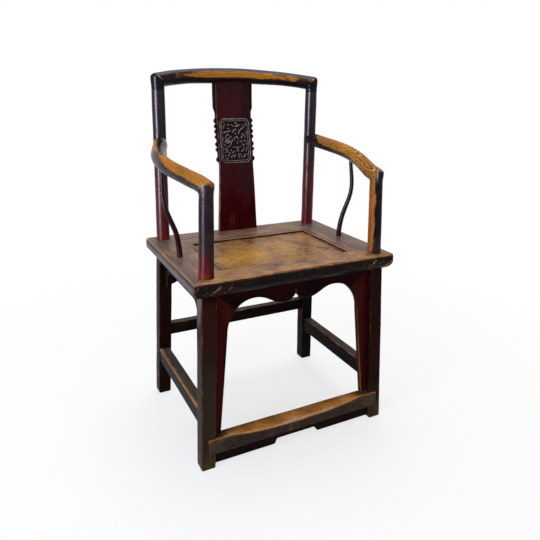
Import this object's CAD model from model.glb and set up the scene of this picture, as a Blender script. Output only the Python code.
import math

import bmesh
import bpy
import numpy as np
from mathutils import Matrix, Vector


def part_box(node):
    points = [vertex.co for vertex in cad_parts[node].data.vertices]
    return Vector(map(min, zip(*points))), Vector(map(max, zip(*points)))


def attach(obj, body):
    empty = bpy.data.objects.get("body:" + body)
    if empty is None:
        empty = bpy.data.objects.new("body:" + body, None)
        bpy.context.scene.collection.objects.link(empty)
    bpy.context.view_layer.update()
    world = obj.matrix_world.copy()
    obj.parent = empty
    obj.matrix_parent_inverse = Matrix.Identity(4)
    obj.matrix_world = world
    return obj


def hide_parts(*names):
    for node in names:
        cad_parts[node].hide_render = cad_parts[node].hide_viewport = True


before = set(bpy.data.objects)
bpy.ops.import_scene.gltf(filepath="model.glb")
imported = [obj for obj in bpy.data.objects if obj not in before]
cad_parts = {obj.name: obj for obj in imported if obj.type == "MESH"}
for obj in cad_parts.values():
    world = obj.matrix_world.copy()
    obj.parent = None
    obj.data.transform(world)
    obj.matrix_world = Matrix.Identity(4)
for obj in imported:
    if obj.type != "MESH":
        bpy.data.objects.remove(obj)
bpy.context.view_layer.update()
scene = bpy.context.scene
scene.view_settings.view_transform = "Standard"


# ---- studio ----
# A pale floor under an even white sky, one wide window light on the sitter's right and a soft one overhead.
# Nothing here belongs to the chair. The floor keeps the chair's shadow and fades to white further out.
def linear(colour):
    """An sRGB hex colour as linear RGBA."""
    parts = [int(colour[i:i + 2], 16) / 255 for i in (1, 3, 5)]
    return [p / 12.92 if p <= 0.04045 else ((p + 0.055) / 1.055) ** 2.4 for p in parts] + [1.0]


def add(tree, kind, inputs=(), stops=(), **settings):
    """One shader node. An input takes a plain value or another node's output; stops fill a colour ramp."""
    made = tree.nodes.new("ShaderNode" + kind)
    for key, value in settings.items():
        setattr(made, key, value)
    for key, value in dict(inputs).items():
        if isinstance(value, bpy.types.NodeSocket):
            tree.links.new(value, made.inputs[key])
        else:
            made.inputs[key].default_value = value
    for i, (place, colour) in enumerate(stops):
        stop = made.color_ramp.elements[i] if i < 2 else made.color_ramp.elements.new(place)
        stop.position = place
        stop.color = linear(colour) if isinstance(colour, str) else [colour] * 3 + [1.0]
    return made


def blank_material(name):
    """An empty node material with its output."""
    material = bpy.data.materials.new(name)
    material.use_nodes = True
    material.node_tree.nodes.clear()
    return material, material.node_tree, add(material.node_tree, "OutputMaterial")


def seen_directly(tree):
    """1 for what the camera sees, straight, in a gloss or through a clear part, and 0 for all other light."""
    path = add(tree, "LightPath")
    gloss = add(tree, "Math", {0: path.outputs["Is Camera Ray"], 1: path.outputs["Is Glossy Ray"]},
                operation="MAXIMUM")
    clear = add(tree, "Math", {0: gloss.outputs[0], 1: path.outputs["Is Transmission Ray"]},
                operation="MAXIMUM")
    return clear.outputs[0]


# The eye stands before the chair, to the sitter's right and nearly as high as the top rail, and looks down at
# the seat. It is rolled a little about its own line of sight.
eye = (-0.6441, -1.3037, 0.9627)
eye_right = Vector((0.8897, -0.4565, 0.0))
eye_up = Vector((0.1522, 0.2967, 0.9428))
eye_back = Vector((-0.4304, -0.8388, 0.3335))
roll = 0.015
axes = (
    eye_right * math.cos(roll) + eye_up * math.sin(roll),
    eye_up * math.cos(roll) - eye_right * math.sin(roll),
    eye_back,
)
camera = bpy.data.objects.new("camera", bpy.data.cameras.new("camera"))
camera.data.sensor_width = 36.0
camera.data.lens = 34.30
camera.matrix_world = Matrix.Translation(eye) @ Matrix(axes).transposed().to_4x4()
scene.collection.objects.link(camera)
scene.camera = camera


def soft_light(name, spot, aim, width, height, power, colour):
    """A rectangular diffuse lamp turned towards a point."""
    lamp = bpy.data.lights.new(name, "AREA")
    lamp.shape = "RECTANGLE"
    lamp.size = width
    lamp.size_y = height
    lamp.energy = power
    lamp.color = linear(colour)[:3]
    holder = bpy.data.objects.new(name, lamp)
    holder.location = spot
    holder.rotation_euler = (Vector(aim) - Vector(spot)).to_track_quat("-Z", "Y").to_euler()
    scene.collection.objects.link(holder)
    return holder


soft_light("window", (-2.3, -0.9, 1.5), (0, 0, 0.6), 1.1, 1.7, 46.0, "#dde6ff")
sheen = soft_light("window seen in the gloss", (-2.4, -1.0, 1.0), (0, 0, 0.75), 0.9, 1.9, 480.0, "#dccdea")
sheen.visible_diffuse = False
glint = soft_light("skylight seen in the gloss", (0.0, -0.32, 2.8), (0, 0.2, 0.9), 2.2, 0.34, 110.0,
                   "#eef2ff")
glint.visible_diffuse = False
soft_light("ceiling", (0.4, 0.7, 2.9), (0, 0, 0.5), 1.6, 1.6, 42.0, "#ffffff")
soft_light("bounce", (1.3, -2.4, 1.0), (0, 0, 0.5), 1.2, 1.2, 8.0, "#fff1dd")

world = bpy.data.worlds.new("white sky")
world.use_nodes = True
scene.world = world
sky = world.node_tree
sky.nodes.clear()
lighting = add(sky, "Background", {"Color": linear("#f4f6fa"), "Strength": 0.42})
white = add(sky, "Background", {"Color": (1, 1, 1, 1), "Strength": 1.0})
chosen = add(sky, "MixShader", {0: seen_directly(sky), 1: lighting.outputs[0], 2: white.outputs[0]})
add(sky, "OutputWorld", {"Surface": chosen.outputs[0]})

# Matt white paint keeps the chair's shadow near its feet. It turns to plain white between these distances.
shadow_reach, white_reach = 0.25, 1.5
paint, tree, output = blank_material("white studio floor")
matt = add(tree, "BsdfDiffuse", {"Color": linear("#f2f2f0")})
plain_white = add(tree, "Emission", {"Color": (1, 1, 1, 1), "Strength": 1.0})
where = add(tree, "TexCoord")
reach = add(tree, "VectorMath", {0: where.outputs["Object"]}, operation="LENGTH")
fade = add(tree, "MapRange", {"Value": reach.outputs["Value"], "From Min": shadow_reach,
                              "From Max": white_reach, "To Min": 0.7, "To Max": 1.0})
share = add(tree, "Math", {0: fade.outputs[0], 1: seen_directly(tree)}, operation="MULTIPLY")
blend = add(tree, "MixShader", {0: share.outputs[0], 1: matt.outputs[0], 2: plain_white.outputs[0]})
tree.links.new(blend.outputs[0], output.inputs["Surface"])
disc = bmesh.new()
bmesh.ops.create_circle(disc, cap_ends=True, segments=96, radius=9.0)
floor_mesh = bpy.data.meshes.new("floor")
disc.to_mesh(floor_mesh)
disc.free()
floor = bpy.data.objects.new("floor", floor_mesh)
floor.location.z = -0.0004
floor.data.materials.append(paint)
scene.collection.objects.link(floor)


# ---- legs ----
# Four timbers of elm, square and splayed below the seat, turned round and tapering above it to carry the rail
# and the arms. Old black lacquer over crimson, rubbed brown on the arrises and worn red at each post's foot.
# Each passes the seat frame as a round neck, and a square tenon on its head holds the rail or the arm.
millimetre = 0.001
seat_low, seat_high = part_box("seat_frame_left")
seat_middle = (seat_low.y + seat_high.y) / 2 / millimetre


def steps(start, end, spacing):
    """Even stations between two values, about so far apart."""
    return np.linspace(start, end, max(2, int(abs(end - start) / spacing) + 1))


def smooth(low, high, value):
    """0 below low, 1 above high and an easy S between."""
    share = np.clip((value - low) / (high - low), 0, 1)
    return share * share * (3 - 2 * share)


def bell(value, width):
    """1 where the value is 0, falling smoothly to 0 within about twice the width on either side."""
    return np.exp(-(value / width) ** 2)


def unit(vectors):
    """Vectors drawn to a length of 1."""
    return vectors / np.linalg.norm(vectors, axis=-1, keepdims=True)


def ripple(points, size, seed):
    """Slow unevenness between about -1 and 1 over points, with swells of about the given size."""
    rng = np.random.default_rng(seed)
    total = 0.0
    for _ in range(5):
        way = rng.normal(size=3)
        way *= rng.uniform(0.6, 1.7) * 2 * math.pi / size / np.linalg.norm(way)
        total = total + np.sin(points @ way + rng.uniform(0, 6.3))
    return total / 3


def skin(name, grid, slot, material, nodes, **marks):
    """A closed surface over rings of points in millimetres about the seat's middle. It stands for CAD nodes.
    marks are numbers for each point, which the finish reads."""
    rows, around = grid.shape[:2]
    index = np.arange(rows * around).reshape(rows, around)
    ahead = np.roll(index, -1, 1)
    quads = np.stack([index[:-1], ahead[:-1], ahead[1:], index[1:]], -1).reshape(-1, 4)
    faces = quads.tolist() + [index[0][::-1].tolist(), index[-1].tolist()]
    points = (grid.reshape(-1, 3) + (0, seat_middle, 0)) * millimetre
    mesh = bpy.data.meshes.new(name)
    mesh.from_pydata(points.tolist(), [], faces)
    for mark, values in marks.items():
        values = np.broadcast_to(values, (rows, around)).astype(np.float32).ravel()
        mesh.attributes.new(mark, "FLOAT", "POINT").data.foreach_set("value", values)
    shell = bmesh.new()
    shell.from_mesh(mesh)
    bmesh.ops.recalc_face_normals(shell, faces=shell.faces)
    shell.to_mesh(mesh)
    shell.free()
    mesh.polygons.foreach_set("use_smooth", [True] * len(mesh.polygons))
    mesh.set_sharp_from_angle(angle=math.radians(42))
    mesh.materials.append(material)
    piece = bpy.data.objects.new(name, mesh)
    scene.collection.objects.link(piece)
    if nodes:
        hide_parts(*nodes)
    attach(piece, "root")
    return piece


def rounded_bar(width, height, arris, corner=5, side=8):
    """Ring of a rectangular section with rounded arrises, anticlockwise from the right-hand side. corner and
    side are the points on each arris and on each flat."""
    centres = np.array([(1, 1), (-1, 1), (-1, -1), (1, -1)]) * (width / 2 - arris, height / 2 - arris)
    ring = []
    for quarter, (centre, following) in enumerate(zip(centres, np.roll(centres, -1, 0))):
        angles = np.linspace(0, math.pi / 2, corner) + quarter * math.pi / 2
        rounded = arris * np.stack([np.cos(angles), np.sin(angles)], -1)
        share = np.linspace(0, 1, side + 2)[1:-1, None]
        ring.append(centre + rounded)
        ring.append((1 - share) * (centre + rounded[-1]) + share * (following + rounded[-1]))
    return np.concatenate(ring)


def round_ring(radius, around):
    """Ring of a round section that starts where rounded_bar's does."""
    angles = np.linspace(0, 2 * math.pi, around, endpoint=False)
    return radius * np.stack([np.cos(angles), np.sin(angles)], -1)


def near_arris(ring, reach):
    """1 on the arrises of a bar's ring and falling to 0 on its flats."""
    half = np.abs(ring).max(0)
    away = (half - np.abs(ring)).max(-1)
    return bell(away, reach)


def per(size):
    """Scale of a texture whose grains are about so many millimetres wide."""
    return 1 / (size * millimetre)


def aged_elm(name, along, pith, film, bare, rings=4.6, gloss=0.36, flecks=0.72, fleck="#8a5a20", swing=0.2,
             ragged=1.0, grainy=0.16, shine=0.02, base=0.0, drag=0.3, figure=0.66, fibre_width=1.6129,
             draw=0.045):
    """Elm under old lacquer or polish. film and bare are the colours of the film and of the open wood.

    The eye gets a film with a quiet sheen, a thin rubbed border, and matt wood with growth rings and pores.
    along is the timber's run and pith a point of its heart line. pith, rings (the spacing of the growth
    rings) and fibre_width are in millimetres. The mark tone picks the film's colour; wear lays the wood open.
    Film: base lifts the tone, swing sways it in broad patches and grainy along the fibres. gloss is its
    roughness, shine the strength of its mirror, and flecks how rare small chips of the colour fleck are.
    Wood: figure is the strength of the rings. draw and drag are how little the fibres and the worn borders
    are drawn out along the run, and ragged is how far the borders fray.
    """
    material, tree, output = blank_material(name)
    where = add(tree, "TexCoord")
    part = add(tree, "SeparateXYZ", {0: where.outputs["Object"]})
    order = {"X": "YZX", "Y": "XZY", "Z": "XYZ"}[along]
    turned = add(tree, "CombineXYZ", {i: part.outputs[axis] for i, axis in enumerate(order)})
    run = turned.outputs[0]
    wear = add(tree, "Attribute", attribute_name="wear")
    tone = add(tree, "Attribute", attribute_name="tone")

    # Growth rings about the heart line. The wave texture repeats after 2 pi / 20 of its own length.
    heart = add(tree, "Mapping", {
        "Vector": run, "Location": (-pith[0] * millimetre, -pith[1] * millimetre, 0), "Scale": (1, 1, 0.16)})
    growth = add(tree, "TexWave", {
        "Vector": heart.outputs[0], "Scale": 2 * math.pi / 20 * per(rings), "Distortion": 5.5,
        "Detail": 3.0, "Detail Scale": 0.22, "Detail Roughness": 0.55},
        wave_type="RINGS", rings_direction="Z", wave_profile="SAW")

    # Elm's fibres and pores are about 0.2 mm wide, too fine to show, so they are drawn 1 to 3 mm wide.
    long = add(tree, "Mapping", {"Vector": run, "Scale": (1, 1, draw)})
    fibre = add(tree, "TexNoise", {"Vector": long.outputs[0], "Scale": per(fibre_width), "Detail": 4.0,
                                   "Roughness": 0.62})
    dash = add(tree, "Mapping", {"Vector": run, "Scale": (1, 1, 0.1), "Location": (0.3, 0.1, 0)})
    pore = add(tree, "TexNoise", {"Vector": dash.outputs[0], "Scale": per(1.1111), "Detail": 2.0,
                                  "Roughness": 0.5})

    # The film frays in scraps of some 7 mm, changes in patches of some 40 mm and chips in specks of 3 mm.
    streak = add(tree, "Mapping", {"Vector": run, "Scale": (1, 1, drag)})
    edge = add(tree, "TexNoise", {"Vector": streak.outputs[0], "Scale": per(6.6667), "Detail": 6.0,
                                  "Roughness": 0.68})
    broad = add(tree, "TexNoise", {"Vector": streak.outputs[0], "Scale": per(41.667), "Detail": 4.0,
                                   "Roughness": 0.55})
    speck = add(tree, "TexNoise", {"Vector": where.outputs["Object"], "Scale": per(2.7778), "Detail": 3.0,
                                   "Roughness": 0.7})

    # Open wood takes its colour from its rings and fibres, and pores and broad patches shade it.
    grain = add(tree, "Math", {0: growth.outputs["Fac"], 1: figure, 2: 0.1 - figure / 2},
                operation="MULTIPLY_ADD")
    grained = add(tree, "Math", {0: fibre.outputs["Fac"], 1: 0.85, 2: grain.outputs[0]},
                  operation="MULTIPLY_ADD")
    wood = add(tree, "ValToRGB", {0: grained.outputs[0]}, stops=bare)
    dark_pore = add(tree, "MapRange", {"Value": pore.outputs["Fac"], "From Min": 0.57, "From Max": 0.66,
                                       "To Min": 1.0, "To Max": 0.55})
    shade = add(tree, "MapRange", {"Value": broad.outputs["Fac"], "From Min": 0.3, "From Max": 0.7,
                                   "To Min": 0.62, "To Max": 1.2})
    value = add(tree, "Math", {0: shade.outputs[0], 1: dark_pore.outputs[0]}, operation="MULTIPLY")
    patchy = add(tree, "HueSaturation", {"Color": wood.outputs[0], "Value": value.outputs[0]})

    # The film's tone is swayed by each noise about its middle.
    picked = tone.outputs["Fac"]
    for noise, amount, lift in ((broad, 2 * swing, base), (fibre, 2 * grainy, 0.0), (edge, grainy / 2, 0.0)):
        centred = add(tree, "Math", {0: noise.outputs["Fac"], 1: 0.5 - lift / amount}, operation="SUBTRACT")
        swayed = add(tree, "Math", {0: centred.outputs[0], 1: amount, 2: picked}, operation="MULTIPLY_ADD")
        picked = swayed.outputs[0]
    lacquer = add(tree, "ValToRGB", {0: picked}, stops=film)

    # Wood lies open, on average, where the mark wear is over 0.5. Just short of that the film is rubbed thin.
    fray, split = 1.15 * ragged, 0.3 * ragged
    level = (fray + split) / 2 + 0.5
    worn = wear.outputs["Fac"]
    for noise, amount in ((edge, fray), (fibre, split)):
        frayed = add(tree, "Math", {0: noise.outputs["Fac"], 1: amount, 2: worn}, operation="MULTIPLY_ADD")
        worn = frayed.outputs[0]
    open_wood = add(tree, "MapRange", {"Value": worn, "From Min": level - 0.03, "From Max": level + 0.05},
                    interpolation_type="SMOOTHSTEP")
    thin = add(tree, "MapRange", {"Value": worn, "From Min": level - 0.3, "From Max": level, "To Max": 0.62},
               interpolation_type="SMOOTHSTEP")
    chip = add(tree, "MapRange", {"Value": speck.outputs["Fac"], "From Min": flecks,
                                  "From Max": flecks + 0.03, "To Max": 0.55})
    rubbed = add(tree, "Mix", {"Factor": 0.5, "A": lacquer.outputs[0], "B": patchy.outputs[0]},
                 data_type="RGBA")
    colour = lacquer.outputs[0]
    for share, layer in ((thin, rubbed.outputs["Result"]), (chip, linear(fleck)),
                         (open_wood, patchy.outputs[0])):
        laid = add(tree, "Mix", {"Factor": share.outputs[0], "A": colour, "B": layer}, data_type="RGBA")
        colour = laid.outputs["Result"]

    # Open wood is duller than the film and lies a little lower, with its pores showing.
    dull = add(tree, "MapRange", {"Value": edge.outputs["Fac"], "From Min": 0.3, "From Max": 0.7,
                                  "To Min": gloss - 0.07, "To Max": gloss + 0.1})
    rough = add(tree, "Mix", {"Factor": open_wood.outputs[0], "A": dull.outputs[0], "B": 0.5},
                data_type="FLOAT")
    height = 0.0
    for noise, amount in ((open_wood.outputs[0], fibre.outputs["Fac"]), (edge.outputs["Fac"], 0.45),
                          (open_wood.outputs[0], -0.35)):
        raised = add(tree, "Math", {0: noise, 1: amount, 2: height}, operation="MULTIPLY_ADD")
        height = raised.outputs[0]
    bump = add(tree, "Bump", {"Height": height, "Strength": 0.55, "Distance": 0.6 * millimetre})
    surface = add(tree, "BsdfPrincipled", {
        "Base Color": colour, "Roughness": rough.outputs["Result"], "IOR": 1.5, "Specular IOR Level": shine,
        "Normal": bump.outputs[0]})
    tree.links.new(surface.outputs[0], output.inputs["Surface"])
    return material


neck_x, neck_y = 250.5, 185.5
seat_top, seat_under = 530.0, 487.0
side_splay, front_splay = 22.5, 22.0
leg_side, leg_arris = 39.0, 2.6
post_radius, back_head_radius, front_head_radius = 19.0, 18.0, 17.5
corner_of_rail = np.array([243.5, 178.0, 978.5])
corner_of_arm = np.array([242.3, -179.5, 745.4])
rail_joint, arm_joint = 953.5, 720.4
leg_ring = rounded_bar(leg_side, leg_side, leg_arris)
leg_arrises = near_arris(leg_ring, 2.4)

golden_elm = [(0.0, "#2a1204"), (0.2, "#62320a"), (0.4, "#985304"), (0.66, "#b2660a"), (1.0, "#cd8828")]
leg_film = [(0.0, "#46381f"), (0.12, "#2a1f18"), (0.2, "#261a14"), (0.34, "#150806"), (0.5, "#1f0907"),
            (0.65, "#2a0d0c"), (0.85, "#371417"), (1.0, "#4f2b25")]
front_leg_film = [(0.0, "#43361c"), (0.12, "#2f251c"), (0.24, "#2b201a"), (0.38, "#241712"),
                  (0.52, "#29130f"), (0.64, "#2e0f0d"), (0.76, "#150404"), (0.84, "#110303"),
                  (1.0, "#5d4f52")]
shaded_leg_film = [(0.0, "#120c0a"), (0.5, "#0b0506"), (1.0, "#2b0d0d")]
post_film = [(0.0, "#0e090c"), (0.2, "#20171a"), (0.36, "#2f2022"), (0.5, "#3a1519"), (0.72, "#571515"),
             (0.9, "#7a2c16"), (1.0, "#8f4420")]


def leg(side, end, corner, head, head_radius, worn, film):
    """Leg and post in one skin: side is 1 on the sitter's left, end 1 at the back. The post leans towards the
    corner of its rail and stops at the height head. worn gives its marks."""
    sections, centres = [], []
    trims = {0.0: 0.86, 1.0: 0.92, 3.0: 0.985, seat_under: 0.985}
    for z in np.concatenate([[0.0, 1.0, 3.0], steps(12, 480, 9), [485.0, seat_under]]):
        fall = (seat_under - z) / seat_under
        centres.append((side * (neck_x + side_splay * fall), end * (neck_y + front_splay * fall), z))
        sections.append(leg_ring * trims.get(z, 1.0))
    for z in np.concatenate([[seat_under + 0.2, seat_top - 4], steps(seat_top, head - 0.8, 7), [head]]):
        share = max(0.0, (z - seat_top) / (corner[2] - seat_top))
        foot = np.array([neck_x, neck_y * end])
        x, y = foot + (corner[:2] - foot) * share
        taper = (head_radius - post_radius) * max(0.0, (z - seat_top) / (head - seat_top))
        centres.append((side * x, y, z))
        sections.append(round_ring(post_radius + taper - (0.15 if z == head else 0.0), len(leg_ring)))
    centres, sections = np.array(centres), np.array(sections)
    grid = np.concatenate([sections, np.zeros(sections.shape[:2] + (1,))], -1) + centres[:, None]
    outward = unit(sections)
    uneven = 0.28 * ripple(grid, 90, 3 + end + 2 * side) + 0.12 * ripple(grid, 26, 9 + end)
    grid[..., :2] += outward * uneven[..., None]
    square = grid[..., 2] <= seat_under
    wear, tone = worn(grid, outward, np.where(square, leg_arrises, 0.0), square)

    # Below the seat the lacquer has gone dull and shows the sky only faintly. The posts are polished by
    # sleeves and hands, and the window stands in them as a soft upright streak.
    place = f"{'front' if end < 0 else 'back'} leg {'right' if side > 0 else 'left'}"
    pith = (side * 232, end * 150 + seat_middle)
    matt_leg = aged_elm(f"dull crimson lacquer on {place}", "Z", pith, film, golden_elm, gloss=0.36,
                        fleck="#6f451c", flecks=0.66)
    glossy_post = aged_elm(f"polished lacquer on {place}", "Z", pith, post_film, golden_elm,
                           gloss=0.27 if end > 0 else 0.3, fleck="#6f451c", flecks=0.655,
                           shine=0.12 if end > 0 else 0.05, drag=0.16)
    name = place.replace(" ", "_")
    timber = skin(name + "_timber", grid, "dark_lacquer", matt_leg, [name], wear=wear, tone=tone)
    timber.data.materials.append(glossy_post)
    for face in timber.data.polygons:
        face.material_index = int(face.center.z > (seat_top - 10) * millimetre)


def worn_back(grid, outward, arris, square):
    """Back legs: brown arrises, and a post that goes from near black at its head to red at the seat."""
    z = grid[..., 2]
    wear = np.where(square, 0.36 * arris, 0.0) + 0.036 * ripple(grid, 60, 21)
    post_tone = 0.14 + 0.5 * smooth(860, 660, z) + 0.14 * smooth(600, 535, z)
    tone = np.where(square, 0.36 + 0.04 * ripple(grid, 130, 5), post_tone)
    return wear, tone


def worn_front_left(grid, outward, arris, square):
    """Front leg towards the window: olive at the floor, redder higher up, its outer face greyed under the
    seat. The post's foot is red on its outer side, and its inner side is rubbed above."""
    z = grid[..., 2]
    red_foot = smooth(640, 540, z) * smooth(-0.9, 0.6, -outward[..., 0] - 0.3 * outward[..., 1])
    leg_tone = 0.02 + 0.14 * smooth(20, 80, z) + 0.42 * smooth(230, 410, z) + 0.22 * smooth(440, 480, z)
    leg_tone = leg_tone + 0.05 * ripple(grid, 130, 5)
    leg_tone = leg_tone + 0.5 * smooth(330, 470, z) * smooth(0.6, 0.9, -outward[..., 0])
    tone = np.where(square, leg_tone, 0.24 + 0.12 * ripple(grid, 40, 8) + 0.62 * red_foot)
    wear = np.where(square, 0.4 * arris, 0.2 * smooth(0.2, 1, outward[..., 0]) * smooth(560, 700, z))
    return wear, tone


def worn_front_right(grid, outward, arris, square):
    """Front leg on the shaded side: its post is worn golden all the way up the side that faces the sitter."""
    z = grid[..., 2]
    inner = -outward[..., 0] * 0.97 + outward[..., 1] * 0.22
    palm = inner - 0.5 + 0.1 * ripple(grid, 45, 4) + 0.07 * ripple(grid, 16, 19)
    palm = palm - 0.34 * smooth(572, 536, z)
    wear = np.where(square, 0.38 * arris, (0.5 + 1.6 * palm) * smooth(526, 532, z))
    leg_tone = 0.02 + 0.12 * smooth(30, 70, z) + 0.34 * smooth(70, 190, z) + 0.05 * ripple(grid, 130, 15)
    tone = np.where(square, leg_tone, 0.04 + 0.4 * smooth(600, 540, z))
    return wear, tone


leg(-1, 1, corner_of_rail, rail_joint, back_head_radius, worn_back, leg_film)
leg(1, 1, corner_of_rail, rail_joint, back_head_radius, worn_back, shaded_leg_film)
leg(-1, -1, corner_of_arm, arm_joint, front_head_radius, worn_front_left, front_leg_film)
leg(1, -1, corner_of_arm, arm_joint, front_head_radius, worn_front_right, leg_film)


# ---- seat frame ----
# Four mitred bars of elm with through tenons. The edge is moulded: a rounded top, an upright band and an
# undercut. The top is brown under a dull polish, the front edge near black with its arris worn golden.
seat_x, seat_y = 296.0, 222.0
bar_width, ledge_width = 72.0, 28.0
ledge_top, bar_corner = 514.0, 8.0


def bend3(start, turn, end, count):
    """Quadratic curve of count points from one point round another to a third."""
    t = np.linspace(0, 1, count)[:, None]
    return (1 - t) ** 2 * np.array(start) + 2 * t * (1 - t) * np.array(turn) + t * t * np.array(end)


# Once round the bar's section: how far in from its outer edge, and how high.
groove_side, ledge_end = bar_width + 0.6, bar_width + ledge_width
edge_profile = np.concatenate([
    bend3((6, seat_top), (0.48, 528.9), (0, 517), 9), [(0, 513), (0, 509)],
    bend3((0, 505), (3.15, 496), (15, seat_under), 7),
    [(40, seat_under), (70, seat_under), (ledge_end, seat_under), (ledge_end, 500), (ledge_end, ledge_top)],
    [(86, ledge_top), (groove_side, ledge_top), (bar_width, 520), (bar_width, 529.3), (71.3, seat_top)],
    [(inset, seat_top) for inset in (68, 62, 54, 46, 38, 30, 23, 17, 13, 10, 8)],
])


def mitred_bar(name, profile, half_out, half_run, facing, low, high, finish, round_to=0.0):
    """A bar with its moulded edge facing outward. low and high are how far each end runs back for a
    millimetre inward: 1 is a plain mitre and 0 is square. round_to is its outer corners' radius in plan."""
    inset = profile[:, 0]
    even = np.linspace(-1, 1, 91)
    crowded = 0.45 * np.sin(even * math.pi / 2) + 0.55 * even
    left = half_run - inset * low
    right = half_run - inset * high
    run = (right + left) / 2 * crowded[:, None] + (right - left) / 2
    across = half_out - np.broadcast_to(inset, run.shape)
    height = np.broadcast_to(profile[:, 1], run.shape).copy()
    if round_to:
        over_run = np.abs(run) - (half_run - round_to)
        over_across = across - (half_out - round_to)
        beyond = np.hypot(over_run, over_across)
        limit = np.maximum(round_to - inset, 0.01)
        outside = (over_run > 0) & (over_across > 0) & (beyond > limit)
        pull = np.where(outside, limit / np.maximum(beyond, 1e-6), 1)
        run = np.where(over_run > 0, np.sign(run) * (half_run - round_to + over_run * pull), run)
        across = np.where(over_across > 0, half_out - round_to + over_across * pull, across)
    grid = np.zeros(run.shape + (3,))
    if facing[0]:
        grid[..., 0] = facing[0] * across
        grid[..., 1] = -facing[0] * run
    else:
        grid[..., 0] = facing[1] * run
        grid[..., 1] = facing[1] * across
    grid[..., 2] = height
    return finish(name, grid, run, inset, height)


seat_bare = [(0.0, "#4e2c10"), (0.3, "#8a5a2e"), (0.6, "#b5824c"), (1.0, "#d8ad7c")]
side_film = [(0.0, "#0a0706"), (0.12, "#140c0a"), (0.2, "#3d150f"), (0.34, "#57535a"), (0.48, "#54443e"),
             (0.64, "#7b5c4a"), (0.82, "#a0764f"), (1.0, "#bd9262")]
seat_film = [(0.0, "#0a0706"), (0.12, "#140c0a"), (0.2, "#3d150f"), (0.34, "#3b2a24"), (0.5, "#5a4438"),
             (0.64, "#7b5c4a"), (0.82, "#a0764f"), (1.0, "#bd9262")]
# Polish rubbed into tan elm: a warm top with dark fibres, drawn 3 mm wide to show, over a near black edge.
front_elm = aged_elm("front bar, tan elm under worn dark polish", "X", (-420, 400), seat_film, seat_bare,
                     rings=5.5, gloss=0.42, flecks=0.65, fleck="#7a3a1c", swing=0.16, grainy=0.7, shine=0.05,
                     fibre_width=3.3333, drag=0.6, draw=0.1)
# Greyed old polish: a soft brown in which the window stands as a faint haze.
dull_polish = dict(rings=5.5, gloss=0.4, swing=0.18, grainy=0.5, shine=0.1, fibre_width=2.9412)
frame_elm_x = aged_elm("back bar, greyish elm polish", "X", (390, 400), seat_film, seat_bare, flecks=0.74,
                       **dull_polish)
frame_elm_y = aged_elm("side bars, greyish elm polish", "Y", (0, 250), side_film, seat_bare, flecks=0.72,
                       **dull_polish)


def frame_bar_finish(name, grid, run, inset, height):
    """Marks and finish of one bar, by which way it faces: a worn arris with dents, a polished top, a dark
    edge and a fine groove at each mitre. The front bar's edge has flaked towards its ends."""
    side = name.split("_")[-1]
    top = smooth(521, 529, height)
    arris = bell(inset - 4.4, 2.3) * smooth(522, 528, height)
    edge_face = smooth(524, 516, height) * (inset < 40)
    rough_edge = ripple(grid, 34, 12)
    dent = np.clip(ripple(grid, 19, 33) - 0.35, 0, 1) * arris * (0.9 if side == "front" else 0.45)
    grid[..., 2] -= dent * 1.1
    grid[..., 2] += 0.18 * ripple(grid * (1, 1, 0), 140, 6) * top
    if side == "front":
        tone = 0.72 * top + 0.08 * ripple(grid, 80, 2) * top + 0.1 * top * smooth(0, -250, grid[..., 0])
        wear = 0.9 * arris + 0.26 * arris * rough_edge + 0.14 * top + 0.1 * top * ripple(grid, 110, 4)
        flaked = smooth(0.25, 0.6, ripple(grid, 15, 37)) * smooth(150, 225, np.abs(run))
        wear = wear + (0.42 * flaked + 0.12 * smooth(235, 285, np.abs(run))) * edge_face
        material = front_elm
    else:
        tone = 0.36 * edge_face + 0.56 * top + 0.07 * ripple(grid, 90, 8)
        wear = 0.95 * arris + 0.2 * arris * rough_edge - 0.1 * (1 - arris)
        if side == "left":
            near_front = smooth(60, -200, grid[..., 1])
            wear = wear + 0.32 * near_front * top * smooth(20, 60, inset)
        material = frame_elm_x if side == "back" else frame_elm_y
    groove = smooth(0.6, 0.0, np.minimum(run.max(0) - run, run - run.min(0)))
    grid[..., 2] -= groove * 0.5 * top
    skin(name + "_bar", grid, "seat_elm", material, [name], wear=wear, tone=tone)


for name, half_out, half_run, facing in [
    ("seat_frame_front", seat_y, seat_x, (0, -1)), ("seat_frame_back", seat_y, seat_x, (0, 1)),
    ("seat_frame_left", seat_x, seat_y, (-1, 0)), ("seat_frame_right", seat_x, seat_y, (1, 0)),
]:
    mitred_bar(name, edge_profile, half_out, half_run, facing, 1, 1, frame_bar_finish, round_to=bar_corner)


# ---- seat panel and its strips ----
# A tan elm board in the frame's rebate, polished by use and darker towards its edges, on two dovetailed
# battens. Thin strips of elm cover its border at the back and both sides, and end in mitres.
open_x, open_y = seat_x - bar_width, seat_y - bar_width
side_strip, back_strip, strip_gap = 35.0, 46.0, 0.1
panel_top, panel_under, strip_floor = 525.0, 515.0, 524.0
half = open_x - side_strip - strip_gap
front_edge, back_edge = 0.5 - open_y, open_y - back_strip - strip_gap

panel_film = [(0.0, "#1a0e08"), (0.2, "#4a2c17"), (0.42, "#7b5837"), (0.6, "#966c42"), (0.8, "#a2702e"),
              (1.0, "#bd8c3e")]
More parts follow.
